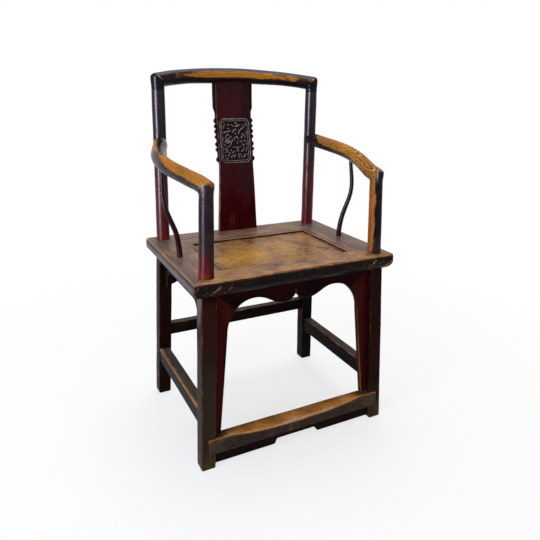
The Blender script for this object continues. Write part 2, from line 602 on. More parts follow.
# Waxed by use to a warm gold with blurred dark flecks of grain. Its fibres are drawn 3 mm wide to show.
panel_elm = aged_elm("tan elm panel, polished by use", "X", (-60, 250), panel_film, golden_elm, rings=6.5,
                     gloss=0.36, flecks=0.68, fleck="#4d2f16", swing=0.22, grainy=1.1, shine=0.08,
                     fibre_width=3.3333, draw=0.2, drag=0.7)
rows = steps(front_edge, back_edge, 4)
columns = steps(-half, half, 4)
upper = np.stack(np.meshgrid(columns, rows), -1)
lower = upper[:, ::-1][:, ::8]
ring = np.concatenate([upper, lower], 1)
grid = np.concatenate([ring, np.full(ring.shape[:2] + (1,), panel_top)], -1)
grid[:, upper.shape[1]:, 2] = panel_under
top = np.zeros(grid.shape[:2])
top[:, 1:upper.shape[1] - 1] = 1
level = grid * (1, 1, 0)
grid[..., 2] += top * (0.25 * ripple(level, 150, 41) + 0.1 * ripple(level, 40, 42) - 0.2)
# Two glowing patches, a dark border under the strips, and three dark smears in the grain.
x, y = grid[..., 0], grid[..., 1]
glow = bell(x + 90, 95) * bell(y + 60, 60) + 0.7 * bell(x - 70, 80) * bell(y, 55)
border = smooth(20, 0, half - np.abs(x)) + 1.4 * smooth(16, 0, back_edge - y)
dark = bell(x - 125 + 0.6 * (y + 33), 17)
dark = dark + 0.6 * bell(x + 132, 12) * smooth(-60, 20, y)
dark = dark + 0.5 * bell(x + 22, 12) * smooth(0, 70, y)
tone = 0.52 + 0.34 * glow - 0.3 * border - 0.22 * dark + 0.08 * ripple(grid, 90, 43)
skin("panel_board", grid, "panel_elm", panel_elm, ["seat_panel"], wear=-0.3 + 0.16 * glow, tone=tone)

strip_profile = np.array(
    [(0.05, strip_floor), (0.05, 529.5), (0.4, 529.95)]
    + [(inset, seat_top) for inset in (4, 12, 21, 24, 26, 27.5, 29, 30.5, 32)]
    + [(33.6, 529.9), (34.7, 529.2), (34.9, 528), (34.9, 526), (34.9, strip_floor), (20, strip_floor)])
# The same greyed polish as the frame's, with the grain running along each side strip.
strip_elm_y = aged_elm("side strips, greyish elm polish", "Y", (0, 250), seat_film, seat_bare, flecks=0.72,
                       **dull_polish)


def strip_finish(name, grid, run, inset, height):
    """Strips are greyish brown on top, with a light inner arris behind a fine groove, and dark red below."""
    width = inset.max()
    inner = bell(width - 1.2 - inset, 2.4) * smooth(527, 529.5, height)
    face = smooth(528.8, 527, height) * (inset > width - 1)
    groove = bell(width - 7.5 - inset, 2.0) * (height > 529)
    grid[..., 2] -= 0.5 * groove
    tone = 0.62 + 0.3 * inner - 0.42 * face - 0.34 * groove + 0.06 * ripple(grid, 70, 4)
    grid[..., 2] -= 0.12 * (height > 529)
    material = frame_elm_x if name.endswith("back") else strip_elm_y
    wear = (0.62 + 0.2 * ripple(grid, 40, 6)) * inner - 0.15
    skin(name + "_lath", grid, "seat_elm", material, [name], wear=wear, tone=tone)


ratio = back_strip / side_strip
mitred_bar("seat_strip_back", strip_profile * (ratio, 1), open_y, open_x, (0, 1), 1 / ratio, 1 / ratio,
           strip_finish)
mitred_bar("seat_strip_right", strip_profile, open_x, open_y, (1, 0), ratio, 0, strip_finish)
mitred_bar("seat_strip_left", strip_profile, open_x, open_y, (-1, 0), 0, ratio, strip_finish)


# ---- battens ----
# Two raw elm battens under the panel, dovetailed across its grain and tenoned into the front and back bars.
# They are hidden, so they are left plain and bare.
def finish_node(name, material, width):
    """A plain board keeps its own solid, with its arrises eased by a width in millimetres."""
    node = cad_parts[name]
    node.data.materials.clear()
    node.data.materials.append(material)
    weld = node.modifiers.new("joined corners", "WELD")
    weld.merge_threshold = 0.01 * millimetre
    ease = node.modifiers.new("eased arrises", "BEVEL")
    ease.width = width * millimetre
    ease.segments = 2
    ease.limit_method = "ANGLE"
    ease.angle_limit = math.radians(35)


raw_film = [(0.0, "#5f4630"), (0.3, "#7b5f43"), (0.6, "#8f7250"), (1.0, "#a98a64")]
# Bare planed wood gone dusty brown, which gives no shine at all.
raw_elm = aged_elm("raw elm, never finished", "Y", (95, 480), raw_film, golden_elm, gloss=0.62)
for side in ("left", "right"):
    finish_node("seat_batten_" + side, raw_elm, 0.8)


# ---- aprons ----
# Thin elm boards tongued between the legs, in dark crimson lacquer. The front one is cusped in the middle and
# mitred to side boards that run down to the foot rail. A fine bead, rubbed to bronze, follows the whole arch.
brown_elm = [(0.0, "#2c180c"), (0.25, "#553018"), (0.6, "#7c4a24"), (1.0, "#9a6233")]
apron_film = [(0.0, "#030000"), (0.3, "#0d0002"), (0.5, "#250507"), (0.75, "#45120d"), (1.0, "#5c2416")]
# Crimson lacquer that hands never reach: deep, even and nearly without shine, with a few brown chips.
apron_x = aged_elm("crimson lacquer on the aprons", "X", (60, 420), apron_film, brown_elm, gloss=0.36,
                   swing=0.25, flecks=0.7, fleck="#4a2417", base=0.38)
apron_z = aged_elm("crimson lacquer on the side boards", "Z", (190, -150), apron_film, brown_elm, gloss=0.36,
                   swing=0.3, flecks=0.72, fleck="#6b4526", base=0.62)
apron_y = aged_elm("crimson lacquer on the side aprons", "Y", (200, 440), apron_film, brown_elm, gloss=0.4,
                   swing=0.3, base=0.35)
board_arris = 0.9
finish_node("front_apron", apron_x, board_arris)
finish_node("back_apron", apron_x, board_arris)
for side in ("left", "right"):
    finish_node("front_spandrel_" + side, apron_z, board_arris)
    finish_node("side_apron_" + side, apron_y, board_arris)


def arch_edge(node, outward, keep):
    """Corner points, in millimetres, where a board's face meets its sawn edge, where keep allows."""
    shell = bmesh.new()
    shell.from_mesh(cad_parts[node].data)
    bmesh.ops.remove_doubles(shell, verts=shell.verts, dist=0.02 * millimetre)
    found = set()
    for edge in shell.edges:
        normals = [face.normal for face in edge.link_faces]
        if len(normals) != 2:
            continue
        facing = [n.dot(outward) for n in normals]
        if max(facing) > 0.97 and min(facing) < 0.4:
            sawn = normals[facing.index(min(facing))]
            middle = (edge.verts[0].co + edge.verts[1].co) / 2 / millimetre
            if keep(middle, sawn):
                found |= {tuple(v.co / millimetre - Vector((0, seat_middle, 0))) for v in edge.verts}
    shell.free()
    return np.array(sorted(found))


def distance_along(points):
    """How far along its line each point lies."""
    return np.concatenate([[0], np.cumsum(np.linalg.norm(np.diff(points, axis=0), axis=1))])


def run_along(points, spacing):
    """Points respaced evenly along their own line."""
    travel = distance_along(points)
    at = steps(0, travel[-1], spacing)
    return np.stack([np.interp(at, travel, points[:, i]) for i in range(3)], -1)


def eased_line(points, times):
    """Small kinks drawn out of a line, its ends kept."""
    for _ in range(times):
        points[1:-1] = 0.5 * points[1:-1] + 0.25 * (points[:-2] + points[2:])
    return points


def pipe(axis, radius, upward=(0, 0, 1), around=28):
    """Rings of a round section square to an axis. Gives the grid and the way each point faces."""
    way = unit(np.gradient(axis, axis=0))
    upward = np.array(upward, float)
    over = unit(upward - way * (way @ upward)[:, None])
    side = np.cross(over, way)
    angles = np.linspace(0, 2 * math.pi, around, endpoint=False)
    facing = np.cos(angles)[None, :, None] * over[:, None] + np.sin(angles)[None, :, None] * side[:, None]
    return axis[:, None] + np.broadcast_to(radius, len(axis))[:, None, None] * facing, facing


lean = front_splay / seat_under
face_front = Vector((0, -1, lean)).normalized()
shoulder_x, shoulder_z = 176.5, 452.0


def inner_edge(side, way):
    """Edge of one side board along the arch, from its foot to its shoulder or back. way is 1 on the left."""
    edge = arch_edge("front_spandrel_" + side, face_front,
                     lambda p, n: way * n.x > 0.05 and n.z < 0.12 and p.z < shoulder_z)
    return edge[np.argsort(way * edge[:, 2])]


apron_edge = arch_edge("front_apron", face_front, lambda p, n: n.z < -0.15 and abs(p.x) < shoulder_x + 0.5)
apron_edge = apron_edge[np.argsort(apron_edge[:, 0])]
whole = np.concatenate([inner_edge("left", 1), apron_edge, inner_edge("right", -1)])
whole = whole[np.concatenate([[True], np.linalg.norm(np.diff(whole, axis=0), axis=1) > 0.05])]
halves = [whole[whole[:, 0] <= 0.01], whole[whole[:, 0] >= -0.01]]

bead_film = [(0.0, "#150a07"), (0.3, "#40260f"), (0.6, "#694720"), (1.0, "#966a32")]
# Lacquer rubbed thin over a carved bead, which the eye takes for a line of dull bronze.
rubbed_bead = aged_elm("bead rubbed to bronze brown", "Z", (190, -150), bead_film, golden_elm, gloss=0.34,
                       flecks=0.75)
for side, half_edge in zip(("left", "right"), halves):
    line = eased_line(run_along(half_edge, 2.5), 2)
    inward = np.cross(np.array(face_front), unit(np.gradient(line, axis=0)))
    height = line[:, 2]
    depth = 2.3 + 0.4 * ripple(line, 60, 17)
    line = line + inward * depth[:, None] + np.array(face_front) * 0.15
    radius = 1.75 + 0.25 * ripple(line, 45, 18)
    grid, facing = pipe(line, radius, upward=face_front, around=12)
    bronze = 0.02 + 0.25 * smooth(330, 130, height)
    if side == "right":
        bronze = bronze + 0.4 * smooth(430, 330, height)
    skin("arch_bead_" + side, grid, "red_lacquer", rubbed_bead, [], tone=bronze[:, None],
         wear=(0.1 + 0.3 * bronze)[:, None])

# A small pointed leaf stands over the cusp, thickest a little above its foot.
leaf_radius, leaf_foot, leaf_tip = 3.4, -1.5, 15
cusp = whole[np.argmin(np.abs(whole[:, 0]))]
rise = np.linspace(leaf_foot, leaf_tip, 12)
spur = cusp + np.stack([np.zeros(12), rise * lean, rise], -1) + np.array(face_front) * 0.3
swell = np.sqrt(np.clip(1 - ((rise - 3) / 12.5) ** 2, 0.01, 1))
grid, facing = pipe(spur, leaf_radius * swell, upward=face_front, around=14)
skin("cusp_leaf", grid, "red_lacquer", rubbed_bead, [], tone=0.12, wear=0.1)


# ---- foot rail and the board under it ----
# A deep elm rail lapped over the front legs, its top worn hollow and bare by feet. The board below is stepped
# up in the middle, in the same dark lacquer as the legs.
rail_front, rail_back, lap_back = -228.85, -194.87, -210.87
rail_under, rail_over = 46.0, 91.5
rail_depth, rail_height = rail_back - rail_front, rail_over - rail_under
rail_reach, leg_line = 270.27, 249.3
hollow_depth, hollow_reach = 20.0, 235.0
tilt = math.atan2(hollow_depth, rail_depth)
hollow_radius = hollow_reach ** 2 / (2 * hollow_depth)
outer_part = np.concatenate([[249.2, 249.5], steps(251, 264, 4), [268, 269.2, 269.9, rail_reach]])
along = np.concatenate([-outer_part[::-1], steps(-246, 246, 4), outer_part])
from_middle = np.abs(along)[:, None]
section = rounded_bar(rail_depth, rail_height, 3.0, corner=6, side=14)
grid = np.zeros((len(along), len(section), 3))
grid[..., 0] = along[:, None]
shrink = np.interp(rail_reach - from_middle, [0, 0.4, 1.1, 2.3], [0.94, 0.965, 0.985, 1.0])
grid[..., 1] = (rail_front + rail_back) / 2 + section[:, 0] * shrink
share_up = 0.5 + section[:, 1] / rail_height * shrink
# The hollow is a wide cylinder tilted down to the front, met by what is left of the old top in a soft line.
curve = (hollow_radius - np.sqrt(hollow_radius ** 2 - from_middle ** 2)) / math.cos(tilt)
worn_top = rail_over - math.tan(tilt) * (rail_back - grid[..., 1]) + curve
top_height = rail_over - np.logaddexp(0, (rail_over - worn_top) / 0.8) * 0.8
level = grid * (1, 1, 0)
lift = 0.5 * ripple(level, 70, 51) + 0.22 * ripple(level, 24, 52)
worn_amount = smooth(0.5, 4, rail_over - top_height)
top_height = top_height + lift * worn_amount - 0.3 * worn_amount
grid[..., 2] = rail_under + share_up * (top_height - rail_under)
lapped = np.minimum(grid[..., 1], lap_back + 0.3)
grid[..., 1] = np.where(from_middle > leg_line, lapped, grid[..., 1])

# Bare gold in the hollow, a pale rolled rim at its front, grey towards the ends, near black in front.
behind_front = grid[..., 1] - rail_front
top_face = smooth(0.9, 0.985, share_up) * np.ones_like(shrink)
front_face = smooth(3, 0.6, behind_front)
end_grey = smooth(205, 240, from_middle + 0.8 * behind_front + 6 * ripple(grid, 30, 57))
to_front = smooth(rail_back, rail_front + 8, grid[..., 1])
rolled = bell(along - 15, 75)[:, None]
rim = bell(behind_front - 2.8 - 4.5 * rolled, 2.4 + 1.6 * rolled)
rim = rim * smooth(0.86, 0.95, share_up) * (0.88 + 0.14 * ripple(grid, 50, 55))
rim = rim * (0.6 + 0.4 * smooth(215, 60, np.abs(along + 40))[:, None])
hollowed = top_face * (1 - front_face)
wear = np.where(front_face > 0.5, 0.06 + 0.12 * ripple(grid, 50, 54), -0.1 + 0.1 * ripple(grid, 60, 53))
wear = wear + 0.1 * front_face * smooth(150, 60, np.abs(along + 50))[:, None]
gold = 0.34 + 0.12 * to_front + 0.08 * ripple(grid, 70, 56)
tone = 0.24 + hollowed * gold * (1 - end_grey) + 0.12 * end_grey * hollowed
tone = np.maximum(tone, 0.98 * rim + tone * (1 - rim)) + 0.1 * front_face * smooth(205, 240, from_middle)

foot_film = [(0.0, "#150f0b"), (0.22, "#2c211a"), (0.36, "#3c3024"), (0.48, "#604524"), (0.62, "#93591a"),
             (0.76, "#b0742c"), (0.88, "#b08660"), (1.0, "#c9a488")]
foot_bare = [(0.0, "#5a3016"), (0.25, "#6f4220"), (0.5, "#8a582c"), (0.75, "#a06a38"), (1.0, "#b5824c")]
# Elm burnished by shoes: golden and streaked, with a low satin gleam. Its fibres are drawn 3 mm wide to show.
foot_elm = aged_elm("foot rail, elm polished by feet", "X", (-227, -40), foot_film, foot_bare, rings=7.0,
                    gloss=0.38, flecks=0.68, fleck="#7a4a22", swing=0.1, grainy=0.32, fibre_width=3.3333,
                    figure=0.5, shine=0.06, draw=0.22, drag=0.6)
skin("foot_rail_timber", grid, "worn_elm", foot_elm, ["foot_rail"], wear=wear, tone=tone)
foot_board_film = [(0.0, "#150b06"), (0.5, "#150b07"), (1.0, "#301c10")]
# The legs' lacquer near the floor, black brown, with hardly a gleam.
foot_board = aged_elm("dark lacquer on the board below", "X", (-200, 60), foot_board_film, brown_elm,
                      gloss=0.42, base=0.3, swing=0.3)
finish_node("foot_rail_apron", foot_board, board_arris)


# ---- stretchers ----
# Rectangular elm rails tenoned between the legs, the back one highest, in the legs' black lacquer. One top
# arris of each is rubbed to gold, the outer one on the left and the inner one on the right and the back.
rubbed_elm = [(0.0, "#5a3a1e"), (0.3, "#8a5f38"), (0.6, "#b28559"), (1.0, "#d2a97e")]
rail_film = [(0.0, "#040201"), (0.16, "#0f0908"), (0.4, "#241a16"), (0.72, "#4c4038"), (1.0, "#665648")]


def stretcher(name, start, end, width, height, outer, worn):
    """A straight bar between two points. outer is the way its most worn side faces, worn how worn it is."""
    start, end = np.array(start, float), np.array(end, float)
    length = np.linalg.norm(end - start)
    way = (end - start) / length
    side_way = np.cross(way, (0, 0, 1))
    axis = start + (end - start) * steps(0, 1, 6 / length)[:, None]
    section = rounded_bar(width, height, 2.8, corner=5, side=10)
    grid = axis[:, None] + section[None, :, :1] * side_way + section[None, :, 1:] * np.array([0, 0, 1.0])
    grid[..., 2] += 0.3 * ripple(grid, 90, 61) * (section[:, 1] > 0)
    from_outer = width / 2 - section[:, 0] * (side_way @ np.array(outer))
    top = smooth(height / 2 - 1.5, height / 2 - 0.2, section[:, 1])
    arris = bell(from_outer, 5.0) * bell(height / 2 - section[:, 1], 2.4)
    arris = np.maximum(arris, bell(from_outer, 8.0) * top)
    wear = np.maximum(worn * arris, 0.28 * near_arris(section, 2.2)) + 0.14 * ripple(grid, 60, 62) * arris
    if "left" in name:
        wear = wear + 0.12 * arris * smooth(80, -180, grid[..., 1])
    wear = wear + 0.12 * top * ripple(grid, 70, 63)
    tone = 0.16 + 0.56 * top + 0.05 * ripple(grid, 60, 64)

    # Black lacquer, greyed by dust on top, with pale golden wood where it is rubbed through.
    across = abs(way[0]) > 0.5
    pith = (start[1] + seat_middle + 30, start[2] - 20) if across else (start[0] - 30, start[2] - 30)
    material = aged_elm(f"dark lacquer on {name.replace('_', ' ')}", "X" if across else "Y", pith, rail_film,
                        rubbed_elm, gloss=0.4, flecks=0.71, fleck="#8a6a2c")
    skin(name + "_bar", grid, "dark_lacquer", material, [name], wear=wear, tone=tone)


stretcher("side_stretcher_left", (-267.8, -206, 145.5), (-267.8, 206, 145.5), 32, 45, (-1, 0, 0), 1.05)
stretcher("side_stretcher_right", (267.8, -206, 145.5), (267.8, 206, 145.5), 32, 45, (-1, 0, 0), 0.42)
stretcher("back_stretcher", (-270, 199.2, 228), (270, 199.2, 228), 27, 38, (0, -1, 0), 0.25)


# ---- back splat ----
# One elm board, curved to the sitter's back, waisted, in dark crimson lacquer. Thin ears flank it from the
# waist up, scalloped beside a sunk medallion of carved foliage inside a double chamfered rim. Tongues at its
# foot and head hold it in the seat frame and the top rail.
splat_foot, splat_bow, splat_height = 194.5, 34.0, 468.5
splat_low, splat_high, board_depth = seat_top - 3, 986.0, 12.0
medallion_low, medallion_height = seat_top + 211.0, 133.0
medallion_z = medallion_low + medallion_height / 2
waist, flare, flare_height, flare_ease = 56.0, 10.0, 200.0, 6.0


def through(knots, values, at):
    """Natural cubic curve through a few points."""
    knots, values = np.array(knots, float), np.array(values, float)
    gaps = np.diff(knots)
    system, aim = np.eye(len(knots)), np.zeros(len(knots))
    for i in range(1, len(knots) - 1):
        system[i, i - 1:i + 2] = gaps[i - 1], 2 * (gaps[i - 1] + gaps[i]), gaps[i]
        aim[i] = 6 * ((values[i + 1] - values[i]) / gaps[i] - (values[i] - values[i - 1]) / gaps[i - 1])
    bend = np.linalg.solve(system, aim)
    i = np.clip(np.searchsorted(knots, at) - 1, 0, len(gaps) - 1)
    a, b, g = knots[i + 1] - at, at - knots[i], gaps[i]
    return ((bend[i] * a ** 3 + bend[i + 1] * b ** 3) / (6 * g) + (values[i] / g - bend[i] * g / 6) * a
            + (values[i + 1] / g - bend[i + 1] * g / 6) * b)


def splat_face(z):
    """Place of the board's front face at a height."""
    shares = [0.0, 0.2, 0.4, 0.53, 0.66, 0.8, 1.0]
    bowed = [0.0, 0.09, 0.22, 0.44, 0.72, 0.96, 1.0]
    return splat_foot + splat_bow * through(shares, bowed, (z - seat_top) / splat_height)


# Stems and leaves of the foliage, placed by hand: corners in millimetres across and up from the middle.
strokes = [
    [(-31, 51), (-34, 45), (-37, 39), (-43, 34)], [(-24, 37), (-18, 36)],
    [(-42, 22), (-36, 24), (-31, 27), (-22, 27), (-14, 31)], [(-8, 24), (-5, 29), (-2, 33), (6, 33)],
    [(-24, 46), (-19, 48)], [(-13, 47), (-7, 46), (-2, 42)], [(5, 56), (4, 51), (9, 49)],
    [(1, 43), (8, 42), (13, 46), (20, 47)],
    [(26, 47), (31, 43), (30, 37), (23, 36), (18, 32), (13, 27), (12, 19)], [(37, 50), (38, 44)],
    [(-3, 0), (-3, 7), (1, 11), (7, 11), (11, 6), (12, 2)], [(6, 0), (7, -4), (6, -9)], [(2, 24), (3, 17)],
    [(21, 20), (28, 19), (33, 14), (35, 9)], [(21, 6), (21, 11), (25, 14)], [(37, 27), (38, 20)],
    [(-33, 7), (-31, 13), (-26, 18), (-19, 18)], [(-31, 1), (-26, 6), (-18, 9), (-11, 15)],
    [(-35, -5), (-31, -1), (-24, 2), (-18, 1)], [(-29, -7), (-22, -4), (-17, -2)], [(-41, 12), (-40, 4)],
    [(-41, -8), (-36, -12), (-32, -14)],
    [(-30, -19), (-23, -17), (-17, -13), (-15, -7), (-11, -2), (-10, 6)],
    [(-28, -22), (-28, -30), (-33, -34), (-38, -33)], [(-42, -20), (-42, -30)], [(-35, -21), (-35, -27)],
    [(-27, -46), (-23, -40), (-22, -33)], [(-20, -49), (-14, -47), (-9, -42)], [(-38, -41), (-34, -46)],
    [(-15, -37), (-8, -35), (-4, -29)], [(-8, -51), (-5, -45), (-1, -40)], [(-16, -26), (-14, -30)],
    [(-10, -19), (-3, -18), (3, -21), (10, -20), (19, -17)], [(5, -24), (4, -32)], [(9, -25), (9, -32)],
    [(8, -37), (9, -44), (10, -52)], [(15, -2), (21, -2), (26, -4)], [(29, 2), (34, -2)],
    [(21, -9), (27, -13), (32, -17)], [(36, -7), (37, -13)], [(38, -20), (36, -27), (33, -32)],
    [(26, -21), (26, -28), (22, -32), (17, -31)], [(14, -39), (17, -45), (17, -52)],
    [(24, -51), (28, -47), (30, -40)], [(36, -39), (37, -46)], [(-34, -53), (-27, -53)],
]


def drawn_through(corners):
    """A carved stroke's middle line, rounded at its turns."""
    line = np.array(corners, float)
    for _ in range(3):
        cut = np.stack([0.75 * line[:-1] + 0.25 * line[1:], 0.25 * line[:-1] + 0.75 * line[1:]], 1)
        line = np.concatenate([line[:1], cut.reshape(-1, 2), line[-1:]])
    return run_along(np.concatenate([line, 0 * line[:, :1]], 1), 0.9)[:, :2]


stems = [drawn_through(corners) for corners in strokes]


def leaf_height(x, z):
    """Height of the foliage over its ground: half-round stems and leaves that thin towards both ends."""
    height = np.zeros_like(x)
    for stem in stems:
        share = np.linspace(-1, 1, len(stem))
        taper = 2.2 * np.sqrt(np.clip(1 - share ** 4, 0.3, 1))
        near = (np.abs(x - stem[:, 0].mean()) < 30) & (np.abs(z - stem[:, 1].mean()) < 62)
        gap = np.hypot(x[near][:, None] - stem[:, 0], z[near][:, None] - stem[:, 1]) / taper
        rounded = 2.9 * np.sqrt(np.clip(1 - (gap / 1.2).min(1) ** 2, 0, 1))
        height[near] = np.maximum(height[near], rounded)
    return height


# Rings lie close over the medallion, where the carving is, and wide apart on the plain board.
heights = np.concatenate([steps(splat_low, 736, 5), steps(738, 877, 0.8), steps(880, splat_high, 5)])
below_waist = flare_ease * np.logaddexp(0, (seat_top + flare_height - heights) / flare_ease)
half_width = waist + flare / flare_height * below_waist
inner_x = steps(-52, 52, 0.8)
# The board's arrises are eased: how far in from its side, and how deep.
edge_in, edge_deep = np.array([0, 0.35, 1.2]), np.array([1.2, 0.35, 0.0])
grid_x = []
for half in half_width:
    outer = np.concatenate([np.linspace(52, half - 1.2, 5)[1:-1], half - edge_in[::-1]])
    behind = np.concatenate([half - edge_in, [30, 0, -30], edge_in[::-1] - half])
    grid_x.append(np.concatenate([-outer[::-1], inner_x, outer, behind]))
front_count = len(inner_x) + 12
flat = np.zeros(front_count - 6)
behind_deep = board_depth - np.concatenate([edge_deep, [0, 0, 0], edge_deep[::-1]])
deep = np.concatenate([edge_deep, flat, edge_deep[::-1], behind_deep])
grid = np.zeros((len(heights), len(deep), 3))
grid[..., 0] = grid_x
grid[..., 2] = heights[:, None]
x, z = grid[..., 0], grid[..., 2] - medallion_z
cut_corner = (np.abs(x) + np.abs(z) - 105.5) / math.sqrt(2)
inside = -np.maximum.reduce([np.abs(x) - 50, np.abs(z) - medallion_height / 2, cut_corner])
inside[:, front_count:] = -99
carved = np.where(inside > -1.2, -0.35 * smooth(-1.2, -0.4, inside), 0.0)
bead_outer = 1.5 * np.clip(1 - np.abs((inside - 2.0) / 2.1) ** 2.6, 0, 1)
bead_inner = 2.6 * np.clip(1 - np.abs((inside - 7.6) / 1.7) ** 2.4, 0, 1)
ground = -2.4 * smooth(3.4, 4.6, inside)
leaves = leaf_height(x, z) * smooth(9.0, 10.5, inside)
carved = np.where(inside > -0.4, ground + bead_outer + bead_inner + leaves, carved)
grid[..., 1] = splat_face(heights)[:, None] + deep - carved
grid[..., 1] += 0.25 * ripple(grid, 150, 71)

# Whatever stands up in the carving and along the arrises is worn; the medallion's ground is darkest.
high = (bead_outer / 1.5 + (bead_inner / 2.6 + leaves / 2.8) ** 2) * (inside > -0.4)
arris = bell(half_width[:, None] - np.abs(x), 2.0)
low_gold = bell(z + 58.5, 2.2) * smooth(-30, 20, x) * (inside > 4) * 0.3
wear = 0.05 + 0.75 * high + 0.3 * arris * (1 + 0.6 * (x < 0)) + low_gold
wear[:, front_count:] = 0.1
tone = 0.42 + 0.05 * ripple(grid, 120, 72) + 0.3 * smooth(700, 560, grid[..., 2])
tone = tone - 0.2 * smooth(-35, 50, x) * smooth(650, 850, grid[..., 2])
tone = tone + 0.4 * bell(half_width[:, None] + x, 3.5) - 0.6 * smooth(-2, 1, inside)
splat_film = [(0.0, "#1f1516"), (0.1, "#170c0d"), (0.2, "#28060a"), (0.33, "#301a1c"), (0.47, "#421418"),
              (0.6, "#3a0508"), (0.75, "#340002"), (0.88, "#4b1211"), (1.0, "#6f3238")]
splat_bare = [(0.0, "#52474a"), (0.4, "#786b69"), (0.75, "#8f817c"), (1.0, "#a6978f")]
# Crimson lacquer polished by backs: a dull red sheen over near black, with grey dust on what stands up.
splat_lacquer = aged_elm("crimson lacquer on the splat", "Z", (-20, 330), splat_film, splat_bare, gloss=0.4,
                         flecks=0.76, swing=0.26, grainy=0.4)
skin("splat_board", grid, "red_lacquer", splat_lacquer, ["back_splat"], wear=wear, tone=tone)

# Each ear's outline is a row of lobes, by place along it and size, with a straight band above them.
ear_reach, lobe_radius, lobe_run = 64.5, 8.5, 121.0
lobes = [(0.03, 1.0), (0.27, 0.72), (0.40, 0.86), (0.58, 0.72), (0.71, 0.86), (0.84, 0.72), (0.97, 1.0)]
scallops = seat_top + 219.0
heights = np.concatenate([steps(scallops - 4.6, scallops + 160, 0.6), steps(scallops + 164, splat_high, 5)])
reach = np.interp(heights, [scallops - 5, scallops, scallops + 141, scallops + 156],
                  [50, 59.5, 59.5, ear_reach])
for share, size in lobes:
    radius = lobe_radius * size
    drop = np.abs(heights - scallops - lobe_run * share) / radius
    lobe = ear_reach - radius + radius * np.sqrt(np.clip(1 - drop ** 2, 0, 1)) * (drop < 1)
    reach = np.maximum(reach, lobe)
under_board, beside_board = np.full_like(reach, 48), np.full_like(reach, 54)
eased = [reach - less for less in (2.5, 0.9, 0.2, 0, 0, 0.2, 0.9, 2.5)]
ring_x = np.stack([under_board, beside_board, *eased, beside_board, under_board], -1)
ring_y = np.array([0, 0, 0, 0.15, 0.8, 2.0, 5.0, 6.2, 6.85, 7, 7, 7])
rim_wear = bell(reach[:, None] - ring_x, 1.6) * smooth(4, 1.5, ring_y)
for side, name in ((-1, "left"), (1, "right")):
    grid = np.zeros(ring_x.shape + (3,))
    grid[..., 0] = side * ring_x
    grid[..., 1] = splat_face(heights)[:, None] + 4.0 + ring_y
    grid[..., 2] = heights[:, None]
    skin(f"splat_ear_{name}", grid, "red_lacquer", splat_lacquer, [], wear=0.1 + 0.34 * rim_wear, tone=0.16)


# ---- top rail ----
# One elm timber, bowed back and raised in the middle, turned down at both ends over the posts' square tenons.
# Hands and backs have worn the front of it golden; the top and underside keep their black lacquer.
pipe_radius, pipe_around = 20.0, 40
rail_end_y, rail_bow, rail_end_z, rail_rise = 178.0, 62.0, 978.5, 20.0


def elbow(corner, heading, down, radius, foot_radius, joint, around):
    """Rings from the level pipe round its corner and down to the joint, with the outer corner rounded off."""
    side = np.cross(heading, down)
    sine = np.linalg.norm(side)
    side = side / sine
    over, beyond = np.cross(heading, side), np.cross(down, side)
    hinge = corner + radius / sine * (down - heading)
    bend = math.acos(heading @ down)
    angles = np.linspace(0, 2 * math.pi, around, endpoint=False)
    level = np.array([heading[0], heading[1], 0.0]) / math.hypot(heading[0], heading[1])
    rings, faces = [], []
    for share in np.linspace(0, 1, 17):
        normal = (math.sin((1 - share) * bend) * heading + math.sin(share * bend) * down) / math.sin(bend)
        way, out = (heading, over) if share <= 0.5 else (down, beyond)
        facing = np.cos(angles)[:, None] * out + np.sin(angles)[:, None] * side
        here = radius * np.ones(around)
        if share > 0.5:
            fitted = foot_radius + (radius - foot_radius) * 0.08
            here = here + (fitted - radius) * smooth(0.5, 1, share)
        base = corner + here[:, None] * facing
        travel = ((hinge - base) @ normal) / (way @ normal)
        ring = base + travel[:, None] * way
        arm = ring - corner
        far = np.linalg.norm(arm, axis=1)
        limit = 0.12 * radius
        soft = radius + limit * (1 - np.exp(-np.clip(far - radius, 0, None) / limit))
        outer = (arm @ level > 0) & (arm[:, 2] > 0) & (far > radius)
        ring = np.where(outer[:, None], corner + arm * (soft / far)[:, None], ring)
        rings.append(ring)
        faces.append(np.where(outer[:, None], arm / far[:, None], facing))
    for z, less in [(joint + 3, 0.0), (joint + 0.8, 0.0), (joint, 0.15)]:
        middle = corner + down * ((z - corner[2]) / down[2])
        share_up = (z - joint) / (corner[2] + 2 * radius - joint)
        grow = foot_radius + (radius - foot_radius) * share_up - less
        facing = np.cos(angles)[:, None] * beyond + np.sin(angles)[:, None] * side
        rings.append(middle + grow * facing)
        faces.append(facing)
    return np.array(rings), np.array(faces)


def rail_axis(x):
    """Middle of the rail at a place across the chair."""
    share = np.abs(x) / corner_of_rail[0]
    bowed = rail_end_y + rail_bow * (1 - share ** 2.5)
    raised = rail_end_z + rail_rise * (1 - share ** 2)
    return np.stack([x, bowed, raised], -1)


heading = unit(np.diff(rail_axis(np.array([241.0, 243.5])), axis=0)[0])
down = unit(np.array([neck_x, neck_y, seat_top]) - corner_of_rail)
end_rings, end_faces = elbow(corner_of_rail, heading, down, pipe_radius, back_head_radius, rail_joint,
                             pipe_around)
run = steps(-222, 222, 5)
axis = rail_axis(run)
straight = corner_of_rail - heading * ((corner_of_rail[0] - np.abs(run)) / heading[0])[:, None]
straight[:, 0] = run
pull = smooth(178, 220, np.abs(run))[:, None]
axis = axis * (1 - pull) + straight * pull
axis[:, 0] = run
middle_rings, middle_faces = pipe(axis, pipe_radius, around=pipe_around)
flip = np.array([-1, 1, 1])
grid = np.concatenate([(end_rings * flip)[::-1], middle_rings, end_rings])
facing = np.concatenate([(end_faces * flip)[::-1], middle_faces, end_faces])
grid += facing * (0.3 * ripple(grid, 110, 81) - 0.25)[..., None]
